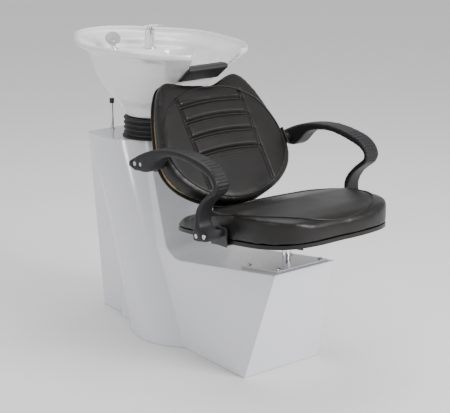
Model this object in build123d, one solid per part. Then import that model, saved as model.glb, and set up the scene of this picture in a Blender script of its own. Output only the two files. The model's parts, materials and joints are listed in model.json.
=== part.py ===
"""Salon backwash unit: a tilting shampoo bowl on a moulded column, with a fixed client's chair.

Millimetres.  +Z is up, -Y is the client's front, the origin is the middle of the footprint box on the floor.
Every function below makes one sub-part; the list at the end writes one STEP file per sub-part.
"""
from build123d import *
import math
import os

# ---------------------------------------------------------------- driving dimensions
SEAT_FRONT_Y = -653.0      # front edge of the seat cushion
BOWL_REAR_Y = 655.0        # rearmost point of the bowl's rim

# moulded base: column
COLUMN_H = 630.0           # height of the column's flat top
COLUMN_HALF = 147.0        # half width and front radius of the top
COLUMN_ARC_Y = 390.0       # centre of the top's front radius
COLUMN_REAR_Y = 495.0      # rear edge of the top
FOOT_R = 205.0             # radius of the foot
FOOT_ARC_Y = 100.0         # centre of the foot's radius
FOOT_WRAP_DEG = 55.0       # how far the foot's arc runs round past its widest point
FOOT_REAR_Y = 473.0        # rear edge at the floor
FOOT_REAR_HALF = 103.0     # half width of the rear edge at the floor
CORNER_CUT = 10.0          # small flat at the top's rear corners
SHELL = 5.0                # glass-fibre wall

# moulded base: prow under the seat
PROW_H = 353.0             # height of the prow's front edge
PROW_TOP_Y = -471.0
PROW_TOP_HALF = 121.0
PROW_FOOT_Y = -370.0
PROW_FOOT_HALF = 155.0
PROW_REAR_HALF = 130.0     # half width where the prow runs into the column
PROW_REAR_Y = 330.0        # how far back the prow runs inside the column
PROW_TOP_TILT = 8.2        # degrees, top rises to the front
SWEEP_R = 100.0            # radius from the prow's top up into the column
NOSE_HALF = 70.0           # half width of the sweep where it reaches the column's top

# bowl
BOWL_Y = 310.0             # centre of the neck
NECK_R = 90.0
NECK_Z = 703.0
RIM_Z = 960.0
BASIN_FLOOR_Z = 782.0
DECK_Z = 902.0             # shelf that carries the taps
CHINA = 14.0               # wall of the bowl at the rim
SKIRT = 13.0               # wall of the neck
CRADLE_Z = 752.0           # underside of the bowl's floor inside the neck
DRAIN_R = 23.0
NOTCH_TOP_HALF = 98.0      # neck notch, at the rim
NOTCH_LOW_HALF = 72.0      # and at its foot
NOTCH_Z = 898.0
NOTCH_REACH_Y = 120.0
RECESS = (-62.0, 140.0, 418.0, 572.0)   # open recess under the tap deck: x and y limits

CRADLE_BOLT = 40.0         # cradle screws, both ways from the neck's axis
REST_HALF = 78.0           # neck rest
REST_T = 12.0
REST_LOW_Z = 856.0

# tilt hinge
PIVOT_Z = 715.0
PIN_R = 6.0
PIN_FIT = 0.05             # radial running clearance
EAR = 6.0                  # plate thickness of all ears
EAR_X = 52.0               # inner face of the bowl's ears
EAR_GAP = 1.0
EAR_HALF = 14.0
MAST_PLATE_Z = 606.0       # top of the mast's head plate

# column-top fittings
TOP_HOLE_R = 82.0
GAITER_R = 98.0
GAITER_GAP = 0.5
STOP_X = 52.0
STOP_Y = 476.0
STOP_R = 6.0
STOP_TOP_Z = 732.5

# waste
WASTE_Z = 735.0            # foot of the waste flange's tube
TAIL_R = 19.0
TRAP_R = 34.0
TRAP_Z = 480.0             # underside of the bottle trap
TRAP_TOP_Z = 590.0
OUTLET_R = 20.0
OUTLET_L = 40.0

# taps
MIXER_X = 92.0
MIXER_Y = 447.0
MIXER_R = 18.0
MIXER_H = 46.0
CAP_H = 13.0               # swivelling cap
ROSE_R = 24.0              # flange on the deck
ROSE_H = 4.0
NUT_H = 8.0
SPRAY_X = -27.0
SPRAY_Y = 498.0
SPRAY_DIR = (-0.28, -0.72, 0.63)   # where the spray face looks
SPRAY_RISE = 33.0          # face centre above the bush
TAP_HOLE_R = 15.0
STUD_R = 12.0
FACE_R = 27.0              # spray face
STEM_R = 9.0
PORT_R = 5.0               # hot and cold inlet tails
PORT_GAP = 13.0            # between the two tails' axes
PORT_L = 50.0
LEVER_AXIS = 16.0          # lever axis above the cap's foot
LEVER_PIN_R = 2.0
STUD_L = 40.0
LEVER_L = 62.0             # lever tip from the mixer's axis
LEVER_HALF = 9.0
LEVER_T = 6.0
LEVER_RISE = 22.0

# steel frame inside the base
TUBE = 30.0                # square tube
FOOT_PLATE_T = 5.0
RAIL_X = 55.0              # inner face of the floor rails
RAIL_FRONT = -345.0
RAIL_REAR = 450.0
ANCHOR_X = 45.0            # anchor holes in the foot plates
ANCHOR_FRONT = -250.0
ANCHOR_REAR = 300.0
SHELL_DROP = 6.0           # top of the backing plate below the prow's top
BACKING_T = 6.0
SOCKET_Z = 262.0           # foot of the seat post
MAST_HALF = 30.0
MAST_DEPTH = 40.0
PANEL_Z = 300.0            # access panel
PANEL_HALF = 85.0
PANEL_H = 330.0
PANEL_T = 3.0
PANEL_SCREW_R = 2.5
PANEL_SCREW_INSET = 10.0

# chair
SEAT_REAR_Y = -97.0
SEAT_TILT = 6.5            # degrees, seat base rises to the front
SEAT_FRONT_Z = 487.0       # underside of the seat board at the front
BOARD = 12.0               # plywood boards
POST_R = 13.5
POST_Y = -385.0
POST_WALL = 3.0
SEAT_PLATE = 8.0           # steel plate on the prow
SEAT_PLATE_HALF = 102.0
SEAT_PLATE_FRONT = -461.0
SEAT_PLATE_REAR = -292.0
PLATE_BOLT_X = 84.0
PLATE_BOLT_INSET = 15.0
BACK_Y = -112.0            # reference point on the front face of the back cushion
BACK_Z = 639.0
BACK_RECLINE = 34.0        # degrees from upright
BACK_T = 62.0              # whole thickness of the back at its middle
BACK_TOP_T = 42.0          # and at its head
BACK_COVER = 4.0
BACKING_INSET = 12.0
BRACKET_HALF = 52.5
BRACKET_T = 6.0
BRACKET_R = 18.0           # bends, on the middle of the bar
BRACKET_Y = -84.0          # upright part behind the seat
BRACKET_FRONT_Y = -280.0
BRACKET_TOP_V = 90.0       # how far up the back it runs
BACK_TAPER_V = 60.0        # the back thins from here to its head

# armrests
ARM_IN = 272.0             # inner face
ARM_OUT = 328.0
ARM_BOSS_IN = 251.0        # face of the bosses against the cushions
ARM_BOLT_R = 4.0
ARM_BOSS_R = 13.0
ARM_LUG_T = 4.0            # steel lugs between the cushions and the bosses

# fasteners
M8 = 4.0
M6 = 3.0
HOLE_FIT = 0.5             # radial clearance of bolt holes
ANCHOR_HOLE_R = 5.5


# ---------------------------------------------------------------- helpers
def box(x0, x1, y0, y1, z0, z1):
    """Closed box between two corners."""
    return Pos((x0 + x1) / 2, (y0 + y1) / 2, (z0 + z1) / 2) * Box(x1 - x0, y1 - y0, z1 - z0)


def rod(radius, p, q):
    """Round bar from p to q."""
    p, q = Vector(p), Vector(q)
    plane = Plane(origin=p, z_dir=(q - p).normalized())
    return plane * (Pos(0, 0, (q - p).length / 2) * Cylinder(radius, (q - p).length))


def tube(outer, inner, p, q):
    """Round tube from p to q."""
    return rod(outer, p, q) - rod(inner, p, q)


def bolt(p, direction, length, radius=M8, head_h=None):
    """Hexagon screw: p is under the head, the shank runs along direction."""
    head_h = head_h or radius * 1.3
    plane = Plane(origin=p, z_dir=direction)
    head = plane * extrude(RegularPolygon(radius * 1.85, 6), -head_h)
    return head + plane * (Pos(0, 0, length / 2) * Cylinder(radius, length))


def group(items):
    """Several separate solids in one node."""
    return Compound(children=list(items))


def prism_yz(points, x0, x1):
    """Outline in the YZ plane, extruded across from x0 to x1."""
    face = Plane.YZ * make_face(Polyline(*points, close=True))
    return Pos(x0, 0, 0) * extrude(face, x1 - x0)


def solid_of(faces):
    """Closed solid from faces that share their edges."""
    return Solid(Shell(faces))


# ---------------------------------------------------------------- moulded base
def prow_top_z(y):
    """Height of the prow's sloping top at y."""
    return PROW_H - (y - PROW_TOP_Y) * math.tan(math.radians(PROW_TOP_TILT))


def column_body(inset, floor_z):
    """Column: half cone in front, a flat triangle each side behind it and a flat back."""
    def point(at_top, x, y):
        return Vector(x, y, COLUMN_H - inset if at_top else floor_z)

    wrap = math.radians(FOOT_WRAP_DEG)
    top_half = COLUMN_HALF - inset
    foot_r = FOOT_R - inset
    rear_top = COLUMN_REAR_Y - inset
    rear_foot = FOOT_REAR_Y - inset
    wrap_x = foot_r * math.cos(wrap)
    wrap_y = FOOT_ARC_Y + foot_r * math.sin(wrap)
    top = [point(True, top_half - CORNER_CUT, rear_top), point(True, top_half, rear_top - CORNER_CUT),
           point(True, top_half, COLUMN_ARC_Y), point(True, 0, COLUMN_ARC_Y - top_half)]
    foot = [point(False, FOOT_REAR_HALF - inset, rear_foot), point(False, wrap_x, wrap_y),
            point(False, foot_r, FOOT_ARC_Y), point(False, 0, FOOT_ARC_Y - foot_r)]
    mid_top = point(True, top_half * math.sin(math.pi / 4), COLUMN_ARC_Y - top_half * math.cos(math.pi / 4))
    mid_wrap = point(False, foot_r * math.cos(wrap / 2), FOOT_ARC_Y + foot_r * math.sin(wrap / 2))
    mid_foot = point(False, foot_r * math.sin(math.pi / 4), FOOT_ARC_Y - foot_r * math.cos(math.pi / 4))
    right_top = [Edge.make_line(top[0], top[1]), Edge.make_line(top[1], top[2]),
                 Edge.make_three_point_arc(top[2], mid_top, top[3])]
    right_foot = [Edge.make_line(foot[0], foot[1]), Edge.make_three_point_arc(foot[1], mid_wrap, foot[2]),
                  Edge.make_three_point_arc(foot[2], mid_foot, foot[3])]
    left_top = [edge.mirror(Plane.YZ) for edge in right_top]
    left_foot = [edge.mirror(Plane.YZ) for edge in right_foot]
    back_top = Edge.make_line(top[0], Vector(-top[0].X, top[0].Y, top[0].Z))
    back_foot = Edge.make_line(foot[0], Vector(-foot[0].X, foot[0].Y, foot[0].Z))
    tops = right_top + left_top + [back_top]
    feet = right_foot + left_foot + [back_foot]
    faces = [Face.make_surface_from_curves(a, b) for a, b in zip(tops, feet)]
    faces += [Face(Wire(tops)), Face(Wire(feet))]
    return solid_of(faces)


def prow_body(inset, floor_z):
    """Prow: leaning front, sides that flare to the floor, top swept up into the column."""
    lean = (PROW_FOOT_Y - PROW_TOP_Y) / PROW_H
    flare = (PROW_FOOT_HALF - PROW_TOP_HALF) / PROW_H
    tall = COLUMN_H + 60

    def front(side, z):
        return (side * (PROW_FOOT_HALF - flare * z - inset), PROW_FOOT_Y - lean * z + inset, z)

    def rear(side, z):
        return (side * (PROW_REAR_HALF - inset), PROW_REAR_Y, z)

    front_loop = Polyline(front(1, floor_z), front(1, tall), front(-1, tall), front(-1, floor_z), close=True)
    rear_loop = Polyline(rear(1, floor_z), rear(1, tall), rear(-1, tall), rear(-1, floor_z), close=True)
    blank = loft([make_face(front_loop), make_face(rear_loop)], ruled=True)
    lean_column = (COLUMN_ARC_Y - COLUMN_HALF - FOOT_ARC_Y + FOOT_R) / COLUMN_H
    foot_front = FOOT_ARC_Y - FOOT_R
    slope = math.tan(math.radians(PROW_TOP_TILT))
    corner_z = (PROW_H - slope * (foot_front - PROW_TOP_Y)) / (1 + slope * lean_column)
    corner_y = foot_front + lean_column * corner_z
    far_y = PROW_TOP_Y - 200
    top_z = COLUMN_H - inset
    top_y = foot_front + lean_column * top_z
    line = FilletPolyline((far_y, prow_top_z(far_y) - inset), (corner_y + inset, corner_z - inset),
                          (top_y + inset, top_z), radius=SWEEP_R)
    rest = Polyline(line @ 1, (COLUMN_ARC_Y - 40, top_z), (COLUMN_ARC_Y - 40, floor_z), (far_y, floor_z), line @ 0)
    swept = Pos(-400, 0, 0) * extrude(Plane.YZ * make_face([*line.edges(), *rest.edges()]), 800)
    shoulder_z = corner_z + 20
    nose = Polyline((PROW_FOOT_HALF + 40, floor_z), (PROW_FOOT_HALF + 40, shoulder_z - 1),
                    (PROW_REAR_HALF - inset, shoulder_z), (NOSE_HALF - inset, COLUMN_H),
                    (-NOSE_HALF + inset, COLUMN_H), (-PROW_REAR_HALF + inset, shoulder_z),
                    (-PROW_FOOT_HALF - 40, shoulder_z - 1), (-PROW_FOOT_HALF - 40, floor_z), close=True)
    rear_mask = Pos(0, foot_front, 0) * (Plane.XZ * extrude(make_face(nose), foot_front - PROW_REAR_Y))
    front_mask = box(-300, 300, far_y, foot_front, floor_z, tall)
    return blank & swept & (rear_mask + front_mask)


def base_outline(inset=0.0, floor_z=0.0):
    """Column and prow as one closed body, drawn in by inset."""
    return column_body(inset, floor_z) + prow_body(inset, floor_z)




def rear_plane(z, out=0.0):
    """Plane on the column's flat rear face at height z, moved outwards."""
    lean = (COLUMN_REAR_Y - FOOT_REAR_Y) / COLUMN_H
    return Plane(origin=(0, FOOT_REAR_Y + lean * z + out, z), x_dir=(-1, 0, 0), z_dir=(0, 1, -lean))


def panel_corners(half, height):
    """Four places on the access panel, on the rear plane's own axes."""
    return [(x, y) for x in (-half, half) for y in (-height / 2, height / 2)]


def plate_bolt_places():
    """Feet of the four seat-plate bolts."""
    ys = (SEAT_PLATE_FRONT + PLATE_BOLT_INSET, SEAT_PLATE_REAR - PLATE_BOLT_INSET)
    return [(x, y) for x in (-PLATE_BOLT_X, PLATE_BOLT_X) for y in ys]


def base_shell():
    """Moulded shell, open at the floor, with its holes."""
    shell = base_outline() - base_outline(SHELL, -1.0)
    shell -= Pos(0, BOWL_Y, COLUMN_H) * Cylinder(TOP_HOLE_R, 40)
    for side in (-1, 1):
        shell -= Pos(side * STOP_X, STOP_Y, COLUMN_H) * Cylinder(STOP_R + HOLE_FIT, 40)
    shell -= Pos(0, POST_Y, PROW_H) * Cylinder(POST_R + HOLE_FIT, 80)
    for x, y in plate_bolt_places():
        shell -= Pos(x, y, PROW_H) * Cylinder(M8 + HOLE_FIT, 90)
    window = rear_plane(PANEL_Z) * Box(2 * PANEL_HALF - 40, PANEL_H - 40, 30)
    shell -= window
    for x, y in panel_corners(PANEL_HALF - PANEL_SCREW_INSET, PANEL_H - 2 * PANEL_SCREW_INSET):
        shell -= rear_plane(PANEL_Z) * (Pos(x, y, 0) * Cylinder(PANEL_SCREW_R + HOLE_FIT, 30))
    return shell


def access_panel():
    """Flat cover over the plumbing opening at the back."""
    plate = Box(2 * PANEL_HALF, PANEL_H, PANEL_T, align=(Align.CENTER, Align.CENTER, Align.MIN))
    plate = fillet(plate.edges().filter_by(Axis.Z), 12)
    for x, y in panel_corners(PANEL_HALF - PANEL_SCREW_INSET, PANEL_H - 2 * PANEL_SCREW_INSET):
        plate -= Pos(x, y, 0) * Cylinder(PANEL_SCREW_R + HOLE_FIT, 30)
    return rear_plane(PANEL_Z) * plate


def panel_screws():
    """Four pan-head screws of the access panel."""
    head = Cylinder(2 * PANEL_SCREW_R, 2.5, align=(Align.CENTER, Align.CENTER, Align.MIN))
    shank = Cylinder(PANEL_SCREW_R, 14, align=(Align.CENTER, Align.CENTER, Align.MAX))
    places = panel_corners(PANEL_HALF - PANEL_SCREW_INSET, PANEL_H - 2 * PANEL_SCREW_INSET)
    return group([rear_plane(PANEL_Z, PANEL_T) * (Pos(x, y, 0) * (head + shank)) for x, y in places])


# ---------------------------------------------------------------- steel frame inside the base
def frame_rails():
    """Two square tubes along the floor."""
    low = FOOT_PLATE_T
    rails = []
    for side in (-1, 1):
        x0, x1 = sorted((side * RAIL_X, side * (RAIL_X + TUBE)))
        outer = box(x0, x1, RAIL_FRONT, RAIL_REAR, low, low + TUBE)
        rails.append(outer - box(x0 + 2, x1 - 2, RAIL_FRONT - 1, RAIL_REAR + 1, low + 2, low + TUBE - 2))
    return group(rails)


def frame_crossbars():
    """Three square tubes between the rails."""
    low = FOOT_PLATE_T
    bars = []
    for y in (RAIL_FRONT, (RAIL_FRONT + RAIL_REAR) / 2, RAIL_REAR - TUBE):
        outer = box(-RAIL_X, RAIL_X, y, y + TUBE, low, low + TUBE)
        bars.append(outer - box(-RAIL_X - 1, RAIL_X + 1, y + 2, y + TUBE - 2, low + 2, low + TUBE - 2))
    return group(bars)


def foot_plates():
    """Four floor plates under the rails, each with an anchor hole."""
    plates = []
    for x in (-ANCHOR_X, ANCHOR_X):
        for y in (ANCHOR_FRONT, ANCHOR_REAR):
            side = 1 if x > 0 else -1
            inner, outer = sorted((side * (ANCHOR_X - 20), side * (RAIL_X + TUBE)))
            plate = box(inner, outer, y - 25, y + 25, 0, FOOT_PLATE_T)
            plates.append(plate - Pos(x, y, 0) * Cylinder(ANCHOR_HOLE_R, 20))
    return group(plates)


def pedestal():
    """Box upright that carries the chair, standing on the front crossbar."""
    low = FOOT_PLATE_T + TUBE
    front, rear = RAIL_FRONT, RAIL_FRONT + TUBE + 10

    def top(y, drop):
        return prow_top_z(y) - SHELL_DROP - BACKING_T - drop

    outer = prism_yz([(front, low), (rear, low), (rear, top(rear, 0)), (front, top(front, 0))], -30, 30)
    inner = prism_yz([(front + 3, low - 1), (rear - 3, low - 1), (rear - 3, top(rear, -9)),
                      (front + 3, top(front, -9))], -27, 27)
    return outer - inner


def on_prow(half, front, rear, low, high):
    """Plate parallel to the prow's top, between two heights above it."""
    return prism_yz([(front, prow_top_z(front) + low), (rear, prow_top_z(rear) + low),
                     (rear, prow_top_z(rear) + high), (front, prow_top_z(front) + high)], -half, half)


def backing_plate():
    """Steel plate under the prow's top that takes the seat-plate bolts."""
    plate = on_prow(SEAT_PLATE_HALF - 6, SEAT_PLATE_FRONT + 4, SEAT_PLATE_REAR,
                    -SHELL_DROP - BACKING_T, -SHELL_DROP)
    plate -= Pos(0, POST_Y, PROW_H) * Cylinder(POST_R + HOLE_FIT, 120)
    for x, y in plate_bolt_places():
        plate -= Pos(x, y, PROW_H) * Cylinder(M8 + HOLE_FIT, 120)
    return plate


def post_socket():
    """Tube under the backing plate that holds the foot of the seat post."""
    top = prow_top_z(POST_Y) - SHELL_DROP - BACKING_T + 10
    sleeve = tube(POST_R + 6, POST_R + 0.1, (0, POST_Y, SOCKET_Z), (0, POST_Y, top))
    above = on_prow(60, POST_Y - 60, POST_Y + 60, -SHELL_DROP - BACKING_T, 60)
    return sleeve - above


def seat_plate():
    """Thick steel plate on the prow, its front edge bare."""
    plate = on_prow(SEAT_PLATE_HALF, SEAT_PLATE_FRONT, SEAT_PLATE_REAR, 0, SEAT_PLATE)
    plate -= Pos(0, POST_Y, PROW_H) * Cylinder(POST_R + 0.1, 120)
    for x, y in plate_bolt_places():
        plate -= Pos(x, y, PROW_H) * Cylinder(M8 + HOLE_FIT, 120)
    return plate


def seat_plate_bolts():
    """Four bolts through the seat plate, the moulding and the backing plate."""
    places = [Vector(x, y, prow_top_z(y) + SEAT_PLATE) for x, y in plate_bolt_places()]
    return group([bolt(p, (0, 0, -1), SEAT_PLATE + SHELL_DROP + BACKING_T + 14)
                  - on_prow(SEAT_PLATE_HALF, SEAT_PLATE_FRONT, SEAT_PLATE_REAR, SEAT_PLATE - 3, SEAT_PLATE)
                  + rod(M8, p - Vector(0, 0, 4), p) for p in places])


def mast():
    """Box tube that carries the bowl, standing on the rear crossbar."""
    low = FOOT_PLATE_T + TUBE
    rear = RAIL_REAR
    front = RAIL_REAR - MAST_DEPTH
    top = MAST_PLATE_Z - EAR
    return box(-MAST_HALF, MAST_HALF, front, rear, low, top) \
        - box(-MAST_HALF + 3, MAST_HALF - 3, front + 3, rear - 3, low - 1, top + 1)


def ear(x0, x1, half, low, high, bore):
    """Upright plate with a rounded end at the tilt axis, bored for the pin."""
    y0, y1 = BOWL_Y - half, BOWL_Y + half
    plate = box(x0, x1, y0, y1, min(low, high), max(low, high))
    plate += rod(half, (x0, BOWL_Y, PIVOT_Z), (x1, BOWL_Y, PIVOT_Z))
    return plate - rod(bore, (x0 - 1, BOWL_Y, PIVOT_Z), (x1 + 1, BOWL_Y, PIVOT_Z))


def bracket_ear_x():
    """Inner and outer face of the fixed ears."""
    inner = EAR_X + EAR + EAR_GAP
    return inner, inner + EAR


def tilt_bracket():
    """Head plate on the mast with two fixed ears that rise through the column's top."""
    plate = box(-80, 80, BOWL_Y - 33, RAIL_REAR - 10, MAST_PLATE_Z - EAR, MAST_PLATE_Z)
    for side in (-1, 1):
        x0, x1 = sorted((side * (STOP_X - 12), side * (STOP_X + 12)))
        plate += box(x0, x1, RAIL_REAR - 11, STOP_Y + 9, MAST_PLATE_Z - EAR, MAST_PLATE_Z)
    plate += box(-STOP_X, STOP_X, RAIL_REAR - 11, RAIL_REAR + 5, MAST_PLATE_Z - EAR, MAST_PLATE_Z)
    plate -= Pos(0, BOWL_Y - 10, MAST_PLATE_Z) * Cylinder(TRAP_R + 22, 40)
    inner, outer = bracket_ear_x()
    for side in (-1, 1):
        x0, x1 = sorted((side * inner, side * outer))
        plate += ear(x0, x1, EAR_HALF + 6, MAST_PLATE_Z - 1, PIVOT_Z, PIN_R)
    for side in (-1, 1):
        plate -= Pos(side * STOP_X, STOP_Y, MAST_PLATE_Z) * Cylinder(STOP_R + HOLE_FIT, 40)
    return plate


def pivot_pins():
    """Two stub pins of the tilt hinge, one in each pair of ears."""
    inner, outer = bracket_ear_x()
    pins = []
    for side in (-1, 1):
        start = side * (EAR_X - 4)
        neck = side * (outer + 0.3)
        end = side * (outer + 4)
        pins.append(rod(PIN_R, (start, BOWL_Y, PIVOT_Z), (neck, BOWL_Y, PIVOT_Z))
                    + rod(PIN_R + 3, (neck, BOWL_Y, PIVOT_Z), (end, BOWL_Y, PIVOT_Z)))
    return group(pins)


# ---------------------------------------------------------------- column-top fittings
def gaiter():
    """Rubber bellows between the column and the bowl's neck: a flange and four folds."""
    low = COLUMN_H + 0.3
    high = NECK_Z - GAITER_GAP
    crest, root, wall = GAITER_R, GAITER_R - 11, 3.0
    flange = 4.0
    folds = 4
    pitch = (high - low - flange) / folds
    outer = [(crest + 5, low), (crest + 5, low + flange)]
    inner = [(root - wall, low), (root - wall, low + flange)]
    for fold in range(folds):
        z = low + flange + fold * pitch
        outer += [(root, z + 0.05 * pitch), (crest, z + 0.4 * pitch), (crest, z + 0.6 * pitch)]
        inner += [(root - wall, z + 0.05 * pitch), (crest - wall, z + 0.4 * pitch), (crest - wall, z + 0.6 * pitch)]
    outer.append((root, high))
    inner.append((root - wall, high))
    profile = make_face(Plane.XZ * Polyline(*outer, *reversed(inner), close=True))
    return Pos(0, BOWL_Y, 0) * revolve(profile, Axis.Z)


def stop_rods():
    """Two bright rods behind the gaiter that the tilted bowl comes to rest on."""
    return group([rod(STOP_R, (side * STOP_X, STOP_Y, MAST_PLATE_Z - 30), (side * STOP_X, STOP_Y, STOP_TOP_Z))
                  for side in (-1, 1)])


def stop_collars():
    """Collars that close the rods' holes in the column's top."""
    return group([tube(STOP_R + 5, STOP_R, (side * STOP_X, STOP_Y, COLUMN_H),
                       (side * STOP_X, STOP_Y, COLUMN_H + 5)) for side in (-1, 1)])


def stop_buffers():
    """Rubber caps on the rods."""
    caps = []
    for side in (-1, 1):
        foot = (side * STOP_X, STOP_Y, STOP_TOP_Z - 12)
        cap = rod(STOP_R + 2, foot, (side * STOP_X, STOP_Y, STOP_TOP_Z + 4))
        caps.append(cap - rod(STOP_R, (foot[0], foot[1], foot[2] - 1), (side * STOP_X, STOP_Y, STOP_TOP_Z)))
    return group(caps)


# ---------------------------------------------------------------- bowl
RIM_RADII = ((0, BOWL_REAR_Y - BOWL_Y), (20, 318), (40, 271), (60, 256), (80, 253), (100, 252), (120, 269), (140, 320),
             (152, 350), (161, 372), (170, 358), (180, 352))    # degrees from the rear, radius from the neck
BOWL_LEVELS = ((960, 1.0, 1.0), (945, 0.985, 1.0), (921, 0.734, 0.955), (890, 0.68, 0.76), (857, 0.611, 0.60),
               (813, 0.48, 0.44), (772, 0.297, 0.23), (741, 0.131, 0.095), (703, 0.0, 0.0))  # z, side, front
BASIN_RADII = ((0, 95), (20, 100), (40, 118), (60, 165), (80, 400), (180, 400))    # rear limit of the basin
BASIN_LEVELS = ((DECK_Z, 1.0), (860, 0.93), (825, 0.78), (797, 0.55), (BASIN_FLOOR_Z, 0.36))
BOWL_STEPS = (0, 20, 40, 60, 80, 100, 120, 140, 152, 161, 170, 180)


def between(table, x, column=1):
    """Straight-line reading of a table whose first column is x."""
    rows = sorted(table)
    for low, high in zip(rows, rows[1:]):
        if x <= high[0]:
            share = (x - low[0]) / (high[0] - low[0])
            return low[column] + share * (high[column] - low[column])
    return rows[-1][column]


def bowl_radius(degrees, z):
    """Outer radius of the bowl at height z, degrees round from the rear."""
    side, front = between(BOWL_LEVELS, z, 1), between(BOWL_LEVELS, z, 2)
    share = min(max((degrees - 120) / 60, 0), 1)
    reach = side + (front - side) * share
    return NECK_R + reach * (between(RIM_RADII, degrees) - NECK_R)


def basin_radius(degrees, z):
    """Inner radius of the deep basin at height z."""
    level = min(max(z, BASIN_FLOOR_Z), DECK_Z)
    widest = min(bowl_radius(degrees, DECK_Z) - CHINA, between(BASIN_RADII, degrees))
    shrunk = widest * between(BASIN_LEVELS, level)
    return min(shrunk, bowl_radius(degrees, level) - CHINA)


def ring(radius_at, z):
    """Closed smooth outline at height z from a radius for each step round from the rear."""
    right = [(radius_at(step) * math.sin(math.radians(step)), radius_at(step) * math.cos(math.radians(step)))
             for step in BOWL_STEPS]
    left = [(-x, y) for x, y in right[-2:0:-1]]
    points = [(x, BOWL_Y + y, z) for x, y in right + left]
    return make_face(Spline(*points, periodic=True))


def bowl_solid():
    """Outer body of the bowl, rim to neck."""
    return loft([ring(lambda step, z=z: bowl_radius(step, z), z) for z, side, front in reversed(BOWL_LEVELS)],
                ruled=True)


def upper_void():
    """Wide shallow space between the rim and the tap deck."""
    levels = (DECK_Z, 921, 945, RIM_Z + 10)
    return loft([ring(lambda step, z=z: bowl_radius(step, min(z, RIM_Z)) - CHINA, z) for z in levels], ruled=True)


def basin_void(grow=0.0):
    """Deep basin in front of the deck, larger all round by grow."""
    rings = [ring(lambda step, z=z: basin_radius(step, z) + grow, z - grow if z == BASIN_FLOOR_Z else z)
             for z in sorted(level[0] for level in BASIN_LEVELS)]
    rings.append(ring(lambda step: basin_radius(step, DECK_Z) + grow, DECK_Z + 5))
    return loft(rings, ruled=True)


def notch():
    """Neck notch between the horns."""
    outline = Polyline((-NOTCH_TOP_HALF, RIM_Z + 20), (-NOTCH_TOP_HALF, RIM_Z), (-NOTCH_LOW_HALF, NOTCH_Z),
                       (NOTCH_LOW_HALF, NOTCH_Z), (NOTCH_TOP_HALF, RIM_Z), (NOTCH_TOP_HALF, RIM_Z + 20), close=True)
    block = extrude(make_face(outline), -250)
    low = [edge for edge in block.edges().filter_by(Axis.Z) if edge.center().Y < NOTCH_Z + 1]
    return Pos(0, NOTCH_REACH_Y - 250, 0) * (Plane.XZ * fillet(low, 30))


def cradle_bolt_places():
    """Four places round the neck."""
    return [(x, BOWL_Y + y) for x in (-CRADLE_BOLT, CRADLE_BOLT) for y in (-CRADLE_BOLT, CRADLE_BOLT)]


def bowl():
    """Glazed bowl with its basin, tap deck, neck notch, waste hole and the open recess under the deck."""
    x0, x1, y0, y1 = RECESS
    cuts = [upper_void(), basin_void(), notch(),
            box(x0, x1, y0, y1, NECK_Z - 10, DECK_Z - CHINA) - basin_void(CHINA),
            Pos(0, BOWL_Y, (NECK_Z + CRADLE_Z) / 2 - 5) * Cylinder(NECK_R - SKIRT, CRADLE_Z - NECK_Z + 10),
            Pos(0, BOWL_Y, BASIN_FLOOR_Z - 10) * Cylinder(DRAIN_R, 60)]
    cuts += [Pos(x, y, DECK_Z) * Cylinder(TAP_HOLE_R, 60) for x, y in ((MIXER_X, MIXER_Y), (SPRAY_X, SPRAY_Y))]
    cuts += [Pos(x, y, CRADLE_Z) * Cylinder(M6 + HOLE_FIT, 36) for x, y in cradle_bolt_places()]
    return bowl_solid() - cuts


def neck_rest():
    """Rubber saddle that hangs over the foot of the notch, fitted to the bowl's wall."""
    front_y = BOWL_Y - bowl_radius(180, NOTCH_Z)
    low_y = BOWL_Y - bowl_radius(180, REST_LOW_Z)
    inner_y = front_y + CHINA
    profile = [(low_y - REST_T, REST_LOW_Z), (front_y - REST_T, NOTCH_Z), (front_y - REST_T + 6, NOTCH_Z + REST_T),
               (inner_y + REST_T - 2, NOTCH_Z + REST_T), (inner_y + REST_T + 6, NOTCH_Z), (inner_y + 20, NOTCH_Z - 16),
               (low_y + 6, REST_LOW_Z)]
    saddle = prism_yz(profile, -REST_HALF, REST_HALF)
    wall = bowl_solid() - [upper_void(), basin_void()]
    return ((saddle - wall) + (saddle & notch())).solids().sort_by(SortBy.VOLUME)[-1]


def bowl_cradle():
    """Steel disc screwed under the bowl, with the two moving ears of the tilt hinge."""
    plate = Pos(0, BOWL_Y, CRADLE_Z - EAR / 2) * Cylinder(NECK_R - SKIRT - 3, EAR)
    plate -= Pos(0, BOWL_Y, CRADLE_Z) * Cylinder(TRAP_R + 2, 40)
    for x, y in cradle_bolt_places():
        plate -= Pos(x, y, CRADLE_Z) * Cylinder(M6 + HOLE_FIT, 40)
    for side in (-1, 1):
        x0, x1 = sorted((side * EAR_X, side * (EAR_X + EAR)))
        plate += ear(x0, x1, EAR_HALF, PIVOT_Z, CRADLE_Z - 1, PIN_R + PIN_FIT)
    return plate


def cradle_bolts():
    """Four screws from the cradle up into the bowl."""
    return group([bolt((x, y, CRADLE_Z - EAR), (0, 0, 1), 20, M6) for x, y in cradle_bolt_places()])


# ---------------------------------------------------------------- waste
def waste_flange():
    """Bright flange in the basin with its threaded tube."""
    top = BASIN_FLOOR_Z + 3
    tube_r = DRAIN_R - HOLE_FIT
    flange = rod(DRAIN_R + 10, (0, BOWL_Y, BASIN_FLOOR_Z), (0, BOWL_Y, top))
    stem = rod(tube_r, (0, BOWL_Y, WASTE_Z), (0, BOWL_Y, BASIN_FLOOR_Z))
    return flange + stem - rod(tube_r - 4, (0, BOWL_Y, WASTE_Z - 1), (0, BOWL_Y, top + 1))


def waste_nut():
    """Backnut under the bowl's floor."""
    return tube(DRAIN_R + 9, DRAIN_R - HOLE_FIT, (0, BOWL_Y, CRADLE_Z - 10), (0, BOWL_Y, CRADLE_Z))


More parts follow.
